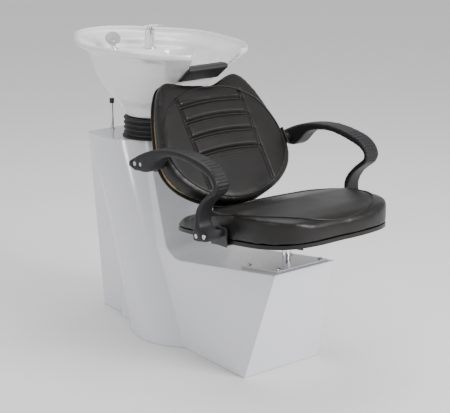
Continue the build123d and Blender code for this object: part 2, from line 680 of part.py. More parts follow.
def strainer():
    """Lift-out hair catcher: a domed disc with slots and a stem."""
    low = BASIN_FLOOR_Z + 3.3
    disc = Pos(0, BOWL_Y, low + 1.5) * Cylinder(DRAIN_R + 6, 3)
    for turn in range(0, 360, 45):
        slot = Pos(0, BOWL_Y, low) * Rot(0, 0, turn) * Pos(12, 0, 0) * Box(10, 3, 20)
        disc -= slot
    stem = rod(3, (0, BOWL_Y, low - 22), (0, BOWL_Y, low + 1))
    knob = rod(5, (0, BOWL_Y, low + 2), (0, BOWL_Y, low + 9))
    return disc + stem + knob


def tailpiece():
    """Straight waste tube between the flange and the trap."""
    return tube(TAIL_R, TAIL_R - 1.5, (0, BOWL_Y, TRAP_TOP_Z - 15), (0, BOWL_Y, WASTE_Z))


def tail_nut():
    """Slip nut that joins the tailpiece to the flange's tube."""
    outer = rod(DRAIN_R + 4, (0, BOWL_Y, WASTE_Z - 9), (0, BOWL_Y, WASTE_Z + 6))
    upper = rod(DRAIN_R - HOLE_FIT, (0, BOWL_Y, WASTE_Z), (0, BOWL_Y, WASTE_Z + 7))
    lower = rod(TAIL_R, (0, BOWL_Y, WASTE_Z - 10), (0, BOWL_Y, WASTE_Z))
    return outer - upper - lower


def trap_body():
    """Upper half of the bottle trap, with the side outlet."""
    split = (TRAP_Z + TRAP_TOP_Z) / 2
    axis_z = TRAP_TOP_Z - 30
    outlet_end = (TRAP_R + OUTLET_L, BOWL_Y, axis_z)
    body = rod(TRAP_R, (0, BOWL_Y, split), (0, BOWL_Y, TRAP_TOP_Z)) + rod(OUTLET_R, (0, BOWL_Y, axis_z), outlet_end)
    body += rod(OUTLET_R + 2, (0, BOWL_Y, axis_z), (TRAP_R + 4, BOWL_Y, axis_z))
    body -= rod(TRAP_R - 3, (0, BOWL_Y, split - 1), (0, BOWL_Y, TRAP_TOP_Z - 4))
    body -= rod(OUTLET_R - 3, (0, BOWL_Y, axis_z), (TRAP_R + OUTLET_L + 1, BOWL_Y, axis_z))
    return body - rod(TAIL_R, (0, BOWL_Y, TRAP_TOP_Z - 20), (0, BOWL_Y, TRAP_TOP_Z + 1))


def trap_cup():
    """Screw-off cup of the bottle trap."""
    split = (TRAP_Z + TRAP_TOP_Z) / 2
    cup = rod(TRAP_R + 2, (0, BOWL_Y, TRAP_Z), (0, BOWL_Y, split))
    return cup - rod(TRAP_R - 3, (0, BOWL_Y, TRAP_Z + 3), (0, BOWL_Y, split + 1))


# ---------------------------------------------------------------- taps
def mixer_body():
    """Single-lever mixer: rose, barrel and the threaded stud through the deck."""
    at = (MIXER_X, MIXER_Y)
    rose = rod(ROSE_R, (*at, DECK_Z), (*at, DECK_Z + ROSE_H))
    barrel = rod(MIXER_R, (*at, DECK_Z), (*at, DECK_Z + ROSE_H + MIXER_H))
    stud = rod(STUD_R, (*at, DECK_Z - STUD_L), (*at, DECK_Z))
    spindle = rod(5, (*at, DECK_Z), (*at, mixer_top() + 8))
    return rose + barrel + stud + spindle


def mixer_top():
    """Top of the mixer's barrel."""
    return DECK_Z + ROSE_H + MIXER_H


def tap_nuts():
    """Backnuts of the mixer and of the spray's bush, under the deck."""
    low, high = DECK_Z - CHINA - NUT_H, DECK_Z - CHINA
    return group([tube(STUD_R + 8, STUD_R, (x, y, low), (x, y, high))
                  for x, y in ((MIXER_X, MIXER_Y), (SPRAY_X, SPRAY_Y))])


def inlet_tails():
    """Hot and cold tails under the mixer's stud."""
    top = DECK_Z - STUD_L
    return group([rod(PORT_R, (MIXER_X + side * PORT_GAP / 2, MIXER_Y, top - PORT_L),
                      (MIXER_X + side * PORT_GAP / 2, MIXER_Y, top)) for side in (-1, 1)])


def mixer_cap():
    """Cap that turns on the mixer's spindle for the temperature, with a fork for the lever."""
    low = mixer_top() + 0.4
    at = (MIXER_X, MIXER_Y)
    cap = rod(MIXER_R - 0.5, (*at, low), (*at, low + CAP_H))
    cap -= rod(5 + PIN_FIT, (*at, low - 1), (*at, low + 8.6))
    slot = box(MIXER_X - 5, MIXER_X + 5, MIXER_Y - 30, MIXER_Y + 30, low + 9.4, low + 40)
    cap += rod(6, (MIXER_X - 10, MIXER_Y, low + LEVER_AXIS), (MIXER_X + 10, MIXER_Y, low + LEVER_AXIS))
    cap -= slot
    return cap - lever_pin_bar(LEVER_PIN_R)


def lever_pin_bar(radius):
    """Cross bar on the lever's axis."""
    z = mixer_top() + 0.4 + LEVER_AXIS
    return rod(radius, (MIXER_X - 11, MIXER_Y, z), (MIXER_X + 11, MIXER_Y, z))


def lever_pin():
    """Pin of the lever, tight in the cap's fork."""
    return lever_pin_bar(LEVER_PIN_R)


def lever():
    """Arched blade that lifts for flow, on the pin in the cap."""
    z = mixer_top() + 0.4 + LEVER_AXIS
    y = MIXER_Y
    line = Spline((y + MIXER_R + 4, z + 6), (y, z + 13), (y - LEVER_L, z + LEVER_RISE),
                  tangents=((-1, 0.5), (-1, 0.06)))
    strip = make_face([*line.edges(),
                       *Polyline(line @ 1, (y - LEVER_L, z + LEVER_RISE - LEVER_T)).edges(),
                       *Spline((y - LEVER_L, z + LEVER_RISE - LEVER_T), (y, z + 13 - LEVER_T),
                               (y + MIXER_R + 4, z + 6 - 3), tangents=((1, -0.06), (1, -0.5))).edges(),
                       *Polyline((y + MIXER_R + 4, z + 3), line @ 0).edges()])
    blade = Pos(MIXER_X - LEVER_HALF, 0, 0) * extrude(Plane.YZ * strip, 2 * LEVER_HALF)
    lug = box(MIXER_X - 4.5, MIXER_X + 4.5, y - 4, y + 4, z, z + 10)
    lug += rod(4, (MIXER_X - 4.5, y, z), (MIXER_X + 4.5, y, z))
    return blade + lug - lever_pin_bar(LEVER_PIN_R + PIN_FIT)


def spray_bush():
    """Bright bush in the deck that the spray stands in."""
    at = (SPRAY_X, SPRAY_Y)
    bush = rod(20, (*at, DECK_Z), (*at, DECK_Z + 5)) + rod(STUD_R, (*at, DECK_Z - STUD_L), (*at, DECK_Z))
    return bush - rod(STEM_R + PIN_FIT, (*at, DECK_Z - STUD_L - 1), (*at, DECK_Z + 6))


def spray_head():
    """Bell-shaped hand spray on its stem."""
    at = (SPRAY_X, SPRAY_Y)
    facing = Vector(SPRAY_DIR).normalized()
    centre = Vector(SPRAY_X, SPRAY_Y, DECK_Z + SPRAY_RISE + 5)
    bell = Plane(origin=centre, z_dir=facing)
    cone = bell * loft([Pos(0, 0, -24) * Circle(11), Pos(0, 0, -14) * Circle(22), Pos(0, 0, -4) * Circle(FACE_R),
                        Circle(FACE_R)], ruled=True)
    stem = rod(STEM_R, (*at, DECK_Z - STUD_L + 8), (*at, DECK_Z + SPRAY_RISE - 4))
    return (stem + cone).solids()[0]


# ---------------------------------------------------------------- chair
def seat_base_z(y, over=0.0):
    """Underside of the seat board at y, or a height above it."""
    return SEAT_FRONT_Z - (y - SEAT_FRONT_Y) * math.tan(math.radians(SEAT_TILT)) + over


def seat_layer(half, front, rear, low, high):
    """Flat bar or plate parallel to the seat board, between two heights above its underside."""
    return prism_yz([(front, seat_base_z(front, low)), (rear, seat_base_z(rear, low)),
                     (rear, seat_base_z(rear, high)), (front, seat_base_z(front, high))], -half, half)


def seat_plan(inset, low, high):
    """The seat's outline from above, drawn in by inset, as an upright block."""
    right = ((0, SEAT_FRONT_Y + inset), (110, SEAT_FRONT_Y + 2 + inset), (205 - inset, SEAT_FRONT_Y + 42 + inset / 2),
             (238 - inset, -540), (246 - inset, -440), (243 - inset, -340), (226 - inset, -220),
             (180 - inset, SEAT_REAR_Y + 22 - inset), (110, SEAT_REAR_Y + 1 - inset), (0, SEAT_REAR_Y - inset))
    left = [(-x, y) for x, y in right[-2:0:-1]]
    outline = make_face(Spline(*right, *left, periodic=True))
    return Pos(0, 0, low) * extrude(outline, high - low)


def seat_cushion():
    """Seat pad: thick at the front, thin at the rear."""
    low = BOARD
    profile = [(SEAT_FRONT_Y - 5, seat_base_z(SEAT_FRONT_Y - 5, low)), (SEAT_FRONT_Y - 5, 538), (-632, 560),
               (-585, 564), (-424, 555), (-270, 515), (-130, 472), (SEAT_REAR_Y + 5, 446),
               (SEAT_REAR_Y + 5, seat_base_z(SEAT_REAR_Y + 5, low))]
    return prism_yz(profile, -300, 300) & seat_plan(0, 350, 650)


def seat_board():
    """Plywood board under the pad."""
    board = seat_layer(300, SEAT_FRONT_Y, SEAT_REAR_Y, 0, BOARD) & seat_plan(5, 350, 650)
    return board - box(-BRACKET_HALF - 2, BRACKET_HALF + 2, BRACKET_Y - 32, BRACKET_Y + 20, 350, 500)


def seat_top_plate():
    """Steel plate welded on the post, under the board."""
    plate = seat_layer(90, POST_Y - 90, POST_Y + 90, -EAR, 0)
    for x, y in seat_screw_places():
        plate -= Pos(x, y, seat_base_z(y)) * Cylinder(M6 + HOLE_FIT, 60)
    return plate


def seat_screw_places():
    """Four screws of the top plate."""
    return [(x, POST_Y + y) for x in (-75, 75) for y in (-75, 75)]


def board_screw(x, y, plate):
    """Screw from below through a plate into the seat board."""
    shape = bolt((x, y, seat_base_z(y, -plate) - 1.5), (0, 0, 1), plate + 1.5 + BOARD - 2, M6)
    return shape


def seat_screws():
    """Screws that hold the seat board to the top plate and to the bracket."""
    items = [board_screw(x, y, EAR) for x, y in seat_screw_places()]
    items += [board_screw(x, y, BRACKET_T) for x, y in seat_bracket_screw_places()]
    return group(items)


def seat_bracket_screw_places():
    """Four screws of the chair bracket's lower leg."""
    return [(x, y) for x in (-34, 34) for y in (-250, -150)]


def seat_rails():
    """Two flat bars on edge that stiffen the board."""
    rails = []
    for side in (-1, 1):
        rail = seat_layer(125, SEAT_FRONT_Y + 60, SEAT_REAR_Y - 30, -18, 0)
        x0, x1 = sorted((side * 118, side * 124))
        rails.append(rail & box(x0, x1, SEAT_FRONT_Y, SEAT_REAR_Y, 300, 600))
    return group(rails)


def seat_post():
    """Bright post between the prow and the seat."""
    post = tube(POST_R, POST_R - POST_WALL, (0, POST_Y, SOCKET_Z), (0, POST_Y, seat_base_z(POST_Y) + 20))
    return post - seat_layer(60, POST_Y - 60, POST_Y + 60, -EAR, 80)


def back_plane():
    """Plane on the front face of the back cushion: x across, y up the back, z towards the client."""
    lean = math.radians(BACK_RECLINE)
    return Plane(origin=(0, BACK_Y, BACK_Z), x_dir=(1, 0, 0), z_dir=(0, -math.cos(lean), math.sin(lean)))


def back_point(across, up, depth):
    """Place on the back from its own three distances."""
    return back_plane().from_local_coords(Vector(across, up, -depth))


def back_outline(inset, depth):
    """The back's outline drawn in by inset, as a block depth thick behind the front face."""
    right = ((0, 249 - inset), (80, 262 - inset), (150 - inset / 2, 274 - inset), (183 - inset, 240 - inset / 2),
             (216 - inset, 163), (239 - inset, 76), (248 - inset, 10), (235 - inset, -42), (180 - inset / 2, -102 + inset),
             (110, -136 + inset), (0, -155 + inset))
    left = [(-x, y) for x, y in right[-2:0:-1]]
    return back_plane() * extrude(make_face(Spline(*right, *left, periodic=True)), -depth)


def back_slice(front_depth, rear_trim):
    """Block between a depth behind the front face and the back's tapering rear, less rear_trim."""
    body, head = BACK_T - rear_trim, BACK_TOP_T - rear_trim
    side = [(-200, front_depth), (300, front_depth), (300, head - 2), (BACK_TAPER_V, body), (-200, body)]
    face = make_face(Polyline(*[(0, up, -depth) for up, depth in side], close=True))
    return back_plane() * (Pos(-300, 0, 0) * extrude(face, 600, dir=(1, 0, 0)))


def back_cushion():
    """Back pad, thinner at its head."""
    return back_outline(0, BACK_T) & back_slice(0, BACK_COVER + BOARD)


def back_board():
    """Plywood board behind the pad."""
    block = back_outline(BACKING_INSET, BACK_T) & back_slice(10, BACK_COVER)
    return block - back_slice(0, BACK_COVER + BOARD)


def back_cover():
    """Moulded cover over the back of the board."""
    block = back_outline(2, BACK_T) & back_slice(10, 0)
    return block - back_slice(0, BACK_COVER) - bracket_holes()


def chair_bracket():
    """Flat steel bar bent twice, from under the seat up the rear of the back."""
    drop = -BRACKET_T / 2 / math.cos(math.radians(SEAT_TILT)) - 0.02
    lean = math.radians(BACK_RECLINE)
    depth = BACK_T + BRACKET_T / 2
    up_bend = (BRACKET_Y - BACK_Y - math.cos(lean) * depth) / math.sin(lean)
    bend, top = back_point(0, up_bend, depth), back_point(0, BRACKET_TOP_V, depth)
    line = FilletPolyline((BRACKET_FRONT_Y, seat_base_z(BRACKET_FRONT_Y, drop)), (BRACKET_Y, seat_base_z(BRACKET_Y, drop)),
                          (bend.Y, bend.Z), (top.Y, top.Z), radius=BRACKET_R)
    strip = make_face((Plane.YZ * offset(line, BRACKET_T / 2, side=Side.BOTH)).edges())
    bar = Pos(-BRACKET_HALF, 0, 0) * extrude(strip, 2 * BRACKET_HALF)
    for x, y in seat_bracket_screw_places():
        bar -= Pos(x, y, seat_base_z(y)) * Cylinder(M6 + HOLE_FIT, 60)
    return bar - bracket_holes()


def bracket_screw_places():
    """Four screws of the chair bracket's upper leg: across and up the back."""
    return [(x, BRACKET_TOP_V - down) for x in (-34, 34) for down in (20, 70)]


def bracket_holes():
    """Clearance holes for the bracket's upper screws, through the bracket and the cover."""
    return group([rod(M6 + HOLE_FIT, back_point(x, up, BACK_T + BRACKET_T + 10), back_point(x, up, BACK_T - BACK_COVER - 1.5))
                  for x, up in bracket_screw_places()])


def bracket_screws():
    """Screws from the bracket into the back board."""
    direction = back_plane().z_dir
    return group([bolt(back_point(x, up, BACK_T + BRACKET_T), direction, BRACKET_T + BACK_COVER + BOARD - 2, M6)
                  for x, up in bracket_screw_places()])


# ---------------------------------------------------------------- armrests
ARM_OUTER = ((-12, 650), (-56, 674), (-106, 696), (-155, 711), (-220, 722), (-290, 724), (-350, 717), (-405, 703),
             (-434, 683), (-447, 659), (-440, 634), (-417, 614), (-390, 593), (-369, 565), (-361, 532))
ARM_INNER = ((-344, 533), (-345, 553), (-360, 582), (-384, 607), (-415, 632), (-432, 652), (-421, 668), (-385, 684),
             (-330, 697), (-270, 704), (-210, 698), (-165, 682), (-137, 657), (-117, 638), (-87, 627))
ARM_FOOT = ((-367, 515), (-386, 502), (-411, 490), (-400, 478), (-343, 468), (-333, 476), (-334, 498), (-340, 515))
ARM_BOLTS = ((-75, 650), (-45, 647), (-352, 487), (-388, 492))


def arm(side):
    """Moulded armrest: rear pad, top rail, front bend and leg, with two bosses against the chair."""
    outer = Spline(*ARM_OUTER)
    inner = Spline(*ARM_INNER)
    foot = Polyline(outer @ 1, *ARM_FOOT, inner @ 0)
    rear = Polyline(inner @ 1, (-40, 625), (-12, 634), outer @ 0)
    face = Plane.YZ * make_face([*outer.edges(), *foot.edges(), *inner.edges(), *rear.edges()])
    body = Pos(ARM_IN, 0, 0) * extrude(face, ARM_OUT - ARM_IN)
    for y, z in ARM_BOLTS:
        body += rod(ARM_BOSS_R, (ARM_BOSS_IN + ARM_LUG_T, y, z), (ARM_IN + 1, y, z))
    for y, z in ARM_BOLTS:
        body -= rod(ARM_BOLT_R + HOLE_FIT, (ARM_BOSS_IN, y, z), (ARM_OUT + 1, y, z))
        body -= rod(ARM_BOLT_R * 2, (ARM_OUT - 6, y, z), (ARM_OUT + 1, y, z))
    return body if side > 0 else body.mirror(Plane.YZ)


def arm_bolts():
    """Eight screws through the armrests into the lugs."""
    items = []
    for side in (-1, 1):
        for y, z in ARM_BOLTS:
            head = rod(ARM_BOLT_R * 1.8, (side * (ARM_OUT - 6), y, z), (side * (ARM_OUT - 2), y, z))
            items.append(head + rod(ARM_BOLT_R, (side * (ARM_OUT - 6), y, z), (side * ARM_BOSS_IN, y, z)))
    return group(items)


def lug_plate(y0, y1, z0, z1, side):
    """Upright plate between the cushions and an armrest's bosses, drilled for two screws."""
    x0, x1 = sorted((side * ARM_BOSS_IN, side * (ARM_BOSS_IN + ARM_LUG_T)))
    plate = box(x0, x1, y0, y1, z0, z1)
    for y, z in ARM_BOLTS:
        plate -= rod(ARM_BOLT_R, (x0 - 1, y, z), (x1 + 1, y, z))
    return plate


def seat_lugs():
    """Steel angles under the seat board that carry the feet of the armrests."""
    lugs = []
    for side in (-1, 1):
        plate = lug_plate(-406, -334, seat_base_z(-370) - 4, 508, side)
        x0, x1 = sorted((side * 170, side * (ARM_BOSS_IN + ARM_LUG_T)))
        flange = seat_layer(300, -406, -334, -4, 0) & box(x0, x1, -500, -200, 300, 600)
        lugs.append(plate + flange)
    return group(lugs)


def back_lugs():
    """Steel angles behind the back cover that carry the rear pads of the armrests."""
    lugs = []
    for side in (-1, 1):
        x0, x1 = sorted((side * 150, side * (ARM_BOSS_IN + ARM_LUG_T)))
        flange = back_plane() * box(x0, x1, 10, 64, -BACK_T - 4, -BACK_T)
        x2 = x0 if side < 0 else x1 - ARM_LUG_T
        plate = back_plane() * box(x2, x2 + ARM_LUG_T, 10, 64, -BACK_T - 4, -8)
        lug = flange + plate
        for y, z in ARM_BOLTS:
            lug -= rod(ARM_BOLT_R, (side * (ARM_BOSS_IN - 5), y, z), (side * (ARM_BOSS_IN + 20), y, z))
        lugs.append(lug)
    return group(lugs)


def parts():
    """Every sub-part under its node's name."""
    return {
        "base_shell": base_shell(), "access_panel": access_panel(), "panel_screws": panel_screws(),
        "frame_rails": frame_rails(), "frame_crossbars": frame_crossbars(), "foot_plates": foot_plates(),
        "pedestal": pedestal(), "backing_plate": backing_plate(), "post_socket": post_socket(),
        "seat_plate": seat_plate(), "seat_plate_bolts": seat_plate_bolts(), "mast": mast(),
        "tilt_bracket": tilt_bracket(), "pivot_pins": pivot_pins(), "gaiter": gaiter(),
        "stop_rods": stop_rods(), "stop_collars": stop_collars(), "stop_buffers": stop_buffers(),
        "bowl": bowl(), "neck_rest": neck_rest(), "bowl_cradle": bowl_cradle(), "cradle_bolts": cradle_bolts(),
        "waste_flange": waste_flange(), "waste_nut": waste_nut(), "strainer": strainer(),
        "tailpiece": tailpiece(), "tail_nut": tail_nut(), "trap_body": trap_body(), "trap_cup": trap_cup(),
        "mixer_body": mixer_body(), "tap_nuts": tap_nuts(), "inlet_tails": inlet_tails(),
        "mixer_cap": mixer_cap(), "lever_pin": lever_pin(), "lever": lever(),
        "spray_bush": spray_bush(), "spray_head": spray_head(),
        "seat_post": seat_post(), "seat_top_plate": seat_top_plate(), "seat_rails": seat_rails(),
        "seat_board": seat_board(), "seat_cushion": seat_cushion(), "seat_screws": seat_screws(),
        "chair_bracket": chair_bracket(), "bracket_screws": bracket_screws(),
        "back_cushion": back_cushion(), "back_board": back_board(), "back_cover": back_cover(),
        "seat_lugs": seat_lugs(), "back_lugs": back_lugs(),
        "arm_left": arm(-1), "arm_right": arm(1), "arm_bolts": arm_bolts(),
    }


def main():
    """Write one STEP file per sub-part."""
    os.makedirs("parts", exist_ok=True)
    for node, shape in parts().items():
        export_step(shape, f"parts/{node}.step")


main()
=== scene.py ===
"""Looks of the salon backwash unit: cushions, armrests, bellows and finishes built round its fixed frame."""

from __future__ import annotations

import json
import logging
import math
from dataclasses import dataclass
from enum import Enum
from typing import Any, Callable, Sequence

import bpy
from mathutils import Matrix, Vector

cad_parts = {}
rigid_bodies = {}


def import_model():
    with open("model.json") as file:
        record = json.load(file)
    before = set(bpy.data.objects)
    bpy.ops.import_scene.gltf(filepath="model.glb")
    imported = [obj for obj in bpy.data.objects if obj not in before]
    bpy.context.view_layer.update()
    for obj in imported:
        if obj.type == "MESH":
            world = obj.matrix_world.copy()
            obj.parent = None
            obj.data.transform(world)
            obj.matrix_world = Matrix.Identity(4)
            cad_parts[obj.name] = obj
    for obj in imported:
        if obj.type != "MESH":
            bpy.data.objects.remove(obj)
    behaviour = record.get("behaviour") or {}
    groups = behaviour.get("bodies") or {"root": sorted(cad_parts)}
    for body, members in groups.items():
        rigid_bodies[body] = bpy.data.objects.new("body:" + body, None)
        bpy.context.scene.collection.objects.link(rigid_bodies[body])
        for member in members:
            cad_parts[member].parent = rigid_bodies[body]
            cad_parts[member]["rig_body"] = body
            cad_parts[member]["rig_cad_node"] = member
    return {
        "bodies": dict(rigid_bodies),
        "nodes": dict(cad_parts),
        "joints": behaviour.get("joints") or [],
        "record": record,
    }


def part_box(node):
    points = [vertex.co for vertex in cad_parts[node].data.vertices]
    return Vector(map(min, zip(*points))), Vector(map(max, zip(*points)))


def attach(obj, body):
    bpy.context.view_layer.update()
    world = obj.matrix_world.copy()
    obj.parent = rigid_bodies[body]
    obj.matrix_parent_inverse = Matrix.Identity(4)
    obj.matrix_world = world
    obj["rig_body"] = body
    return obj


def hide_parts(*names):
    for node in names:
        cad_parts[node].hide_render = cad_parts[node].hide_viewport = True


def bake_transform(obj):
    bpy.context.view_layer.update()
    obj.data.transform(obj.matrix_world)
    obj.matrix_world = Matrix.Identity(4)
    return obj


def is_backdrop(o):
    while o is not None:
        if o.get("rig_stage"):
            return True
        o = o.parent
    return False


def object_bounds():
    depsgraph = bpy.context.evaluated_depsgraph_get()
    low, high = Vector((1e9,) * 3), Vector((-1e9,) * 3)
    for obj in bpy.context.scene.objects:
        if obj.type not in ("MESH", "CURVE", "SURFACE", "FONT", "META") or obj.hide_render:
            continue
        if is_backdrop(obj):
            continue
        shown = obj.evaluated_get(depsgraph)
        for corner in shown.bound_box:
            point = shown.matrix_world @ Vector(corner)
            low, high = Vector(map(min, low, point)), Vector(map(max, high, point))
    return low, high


LOG = logging.getLogger("backwash")
Triple = tuple[float, float, float]


# ---------------------------------------------------------------- shader arithmetic
class Value:
    """One shader socket that takes part in Python arithmetic."""

    def __init__(self, graph: "Graph", socket: Any) -> None:
        """Wrap a socket of a graph.

        Args:
            graph: The material's node graph.
            socket: The output socket.
        """
        self.graph = graph
        self.socket = socket

    def _join(self, operation: str, first: Any, second: Any) -> "Value":
        """Add one Math node.

        Args:
            operation: The Math node's operation.
            first: Left value.
            second: Right value.

        Returns:
            The node's result.
        """
        return self.graph.make("ShaderNodeMath", {"operation": operation}, {0: first, 1: second})

    def __add__(self, other: Any) -> "Value":
        """Sum."""
        return self._join("ADD", self, other)

    __radd__ = __add__

    def __mul__(self, other: Any) -> "Value":
        """Product."""
        return self._join("MULTIPLY", self, other)

    __rmul__ = __mul__


@dataclass(frozen=True)
class Noise:
    """Smooth random pattern: features per metre, finer layers, and scale along each axis."""

    scale: float
    detail: float = 2.0
    stretch: Triple = (1.0, 1.0, 1.0)


class Graph:
    """Node graph of one material."""

    def __init__(self, name: str) -> None:
        """Start an empty material.

        Args:
            name: The material's name.
        """
        self.material = bpy.data.materials.new(name)
        self.material.use_nodes = True
        self.tree = self.material.node_tree
        self.shader = self.tree.nodes["Principled BSDF"]
        self.place = self.make("ShaderNodeTexCoord", {}, {}, "Object")

    def make(
        self, kind: str, settings: dict[str, Any], inputs: dict[Any, Any], out: Any = 0
    ) -> Value:
        """Add any node.

        Args:
            kind: The node's type.
            settings: Its properties, set first.
            inputs: Values or links by socket index, name or identifier.
            out: The output wanted, by index or name.

        Returns:
            The wanted output.
        """
        node = self.tree.nodes.new(kind)
        for key, value in settings.items():
            setattr(node, key, value)
        for key, value in inputs.items():
            socket = self.find(node.inputs, key)
            if isinstance(value, Value):
                self.tree.links.new(value.socket, socket)
            else:
                socket.default_value = value
        return Value(self, self.find(node.outputs, out))

    @staticmethod
    def find(sockets: Any, key: Any) -> Any:
        """Find a socket by index, identifier or name.

        Args:
            sockets: The node's inputs or outputs.
            key: Index, identifier or name.

        Returns:
            The socket.
        """
        if isinstance(key, int):
            return sockets[key]
        for socket in sockets:
            if socket.identifier == key:
                return socket
        return sockets[key]

    def noise(self, layer: Noise) -> Value:
        """Smooth random pattern.

        Args:
            layer: Its scales and detail.

        Returns:
            The pattern, 0 to 1.
        """
        stretched = {"Vector": self.place, "Scale": layer.stretch}
        place = self.make("ShaderNodeMapping", {}, stretched)
        inputs = {"Vector": place, "Scale": layer.scale, "Detail": layer.detail}
        return self.make("ShaderNodeTexNoise", {}, inputs, "Fac")

    def cells(self, scale: float) -> Value:
        """Distance pattern of irregular cells.

        Args:
            scale: Cells per metre.

        Returns:
            The distance from the nearest cell's middle.
        """
        inputs = {"Vector": self.place, "Scale": scale}
        return self.make("ShaderNodeTexVoronoi", {"feature": "F1"}, inputs, "Distance")

    def blend(self, share: Value, low: Triple, high: Triple) -> Value:
        """Mix two colours.

        Args:
            share: How much of the second.
            low: First colour.
            high: Second colour.

        Returns:
            The mixed colour.
        """
        inputs = {"Factor_Float": share, "A_Color": (*low, 1.0), "B_Color": (*high, 1.0)}
        return self.make("ShaderNodeMix", {"data_type": "RGBA"}, inputs, "Result_Color")

    def feed(self, name: str, value: Any) -> None:
        """Set or link an input of the shader.

        Args:
            name: The input's name.
            value: Number, colour or link.
        """
        socket = self.shader.inputs[name]
        if isinstance(value, Value):
            self.tree.links.new(value.socket, socket)
        else:
            socket.default_value = value


# ---------------------------------------------------------------- finishes
class Surface(Enum):
    """Kinds of surface texture."""

    GLAZE = "glaze"
    MOULDED = "moulded"
    LEATHER = "leather"
    STIPPLE = "stipple"
    BRUSHED = "brushed"
    POLISHED = "polished"
    TIMBER = "timber"


@dataclass(frozen=True)
class Texture:
    """Noises behind a surface's colour, roughness and relief.

    The spread is of the roughness, the depth is in metres, and pores are cells per metre.
    """

    tint: Noise
    wear: Noise
    relief: Noise
    spread: float
    depth: float
    pores: float = 0.0


BROAD = Noise(6.0)
GRIT = Noise(700.0)
LINES = Noise(60.0, 4.0, (1.0, 22.0, 22.0))
RINGS = Noise(14.0, 5.0, (1.0, 9.0, 30.0))
SCUFFS = Noise(14.0, 3.0)
SMEARS = Noise(35.0, 3.0)
TEXTURES = {
    Surface.GLAZE: Texture(BROAD, BROAD, Noise(22.0, 1.0), 0.04, 0.00025),
    Surface.MOULDED: Texture(BROAD, Noise(30.0), Noise(45.0), 0.10, 0.0003),
    Surface.LEATHER: Texture(SCUFFS, SCUFFS, Noise(900.0, 3.0), 0.16, 0.00035, pores=420.0),
    Surface.STIPPLE: Texture(BROAD, GRIT, GRIT, 0.12, 0.0002),
    Surface.BRUSHED: Texture(LINES, LINES, LINES, 0.18, 0.00006),
    Surface.TIMBER: Texture(RINGS, RINGS, RINGS, 0.10, 0.0002),
    Surface.POLISHED: Texture(SMEARS, SMEARS, SMEARS, 0.06, 0.00002),
}
PORE_SHARE, FINE_SHARE = 0.7, 0.3
SCUFF_SHARE, GRAIN_SHARE = 0.7, 0.3
COAT_ROUGHNESS = 0.04
EDGE_SAMPLES = 6


@dataclass(frozen=True)
class Finish:
    """One finish of the unit; the edge is its rounding in metres."""

    slot: str
    low: Triple
    high: Triple
    rough: float
    surface: Surface
    metallic: float = 0.0
    coat: float = 0.0
    edge: float = 0.0
    shine: float = 0.5

    def build(self) -> bpy.types.Material:
        """Make the material.

        Returns:
            The finished material.
        """
        graph = Graph(self.slot)
        texture = TEXTURES[self.surface]
        tint, wear, relief = self.layers(graph, texture)
        graph.feed("Base Color", graph.blend(tint, self.low, self.high))
        graph.feed("Roughness", wear * texture.spread + (self.rough - texture.spread / 2))
        graph.feed("Metallic", self.metallic)
        graph.feed("Specular IOR Level", self.shine)
        if self.coat:
            graph.feed("Coat Weight", self.coat)
            graph.feed("Coat Roughness", COAT_ROUGHNESS)
        inputs: dict[Any, Any] = {"Height": relief, "Strength": 1.0, "Distance": texture.depth}
        if self.edge:
            rounding = {"Radius": self.edge}
            inputs["Normal"] = graph.make("ShaderNodeBevel", {"samples": EDGE_SAMPLES}, rounding)
        graph.feed("Normal", graph.make("ShaderNodeBump", {}, inputs))
        return graph.material

    @staticmethod
    def layers(graph: Graph, texture: Texture) -> tuple[Value, Value, Value]:
        """Make what drives the colour, the roughness and the relief.

        Args:
            graph: The material's graph.
            texture: The surface's texture.

        Returns:
            Colour share, wear and relief, each 0 to 1.
        """
        wanted = (texture.tint, texture.wear, texture.relief)
        made = {layer: graph.noise(layer) for layer in wanted}
        tint, wear, relief = (made[layer] for layer in wanted)
        if texture.pores:
            relief = graph.cells(texture.pores) * PORE_SHARE + relief * FINE_SHARE
            tint = tint * SCUFF_SHARE + relief * GRAIN_SHARE
        return tint, wear, relief


FINISHES = (
    Finish("moulding_white", (0.74, 0.75, 0.80), (0.82, 0.82, 0.85), 0.17, Surface.MOULDED,
           coat=0.6, edge=0.007),
    Finish("china_white", (0.83, 0.83, 0.84), (0.87, 0.87, 0.87), 0.09, Surface.GLAZE, coat=1.0),
    Finish("leather_black", (0.006, 0.0055, 0.0055), (0.014, 0.012, 0.011), 0.34,
           Surface.LEATHER, shine=0.35),
    Finish("rubber_black", (0.010, 0.010, 0.011), (0.020, 0.020, 0.021), 0.55,
           Surface.STIPPLE, edge=0.002),
    Finish("arm_black", (0.010, 0.010, 0.011), (0.016, 0.016, 0.018), 0.48,
           Surface.STIPPLE, shine=0.3),
    Finish("cover_black", (0.014, 0.014, 0.015), (0.024, 0.024, 0.025), 0.48,
           Surface.STIPPLE, edge=0.002),
    Finish("chrome", (0.80, 0.80, 0.82), (0.86, 0.86, 0.88), 0.07, Surface.POLISHED,
           metallic=1.0, edge=0.0008),
    Finish("steel", (0.52, 0.52, 0.54), (0.66, 0.66, 0.68), 0.28, Surface.BRUSHED,
           metallic=1.0, edge=0.001),
    Finish("painted_steel", (0.030, 0.030, 0.033), (0.045, 0.045, 0.048), 0.42,
           Surface.STIPPLE, edge=0.001),
    Finish("plywood", (0.42, 0.27, 0.14), (0.62, 0.45, 0.27), 0.60, Surface.TIMBER),
    Finish("trap_white", (0.70, 0.70, 0.70), (0.78, 0.78, 0.78), 0.32, Surface.MOULDED),
)


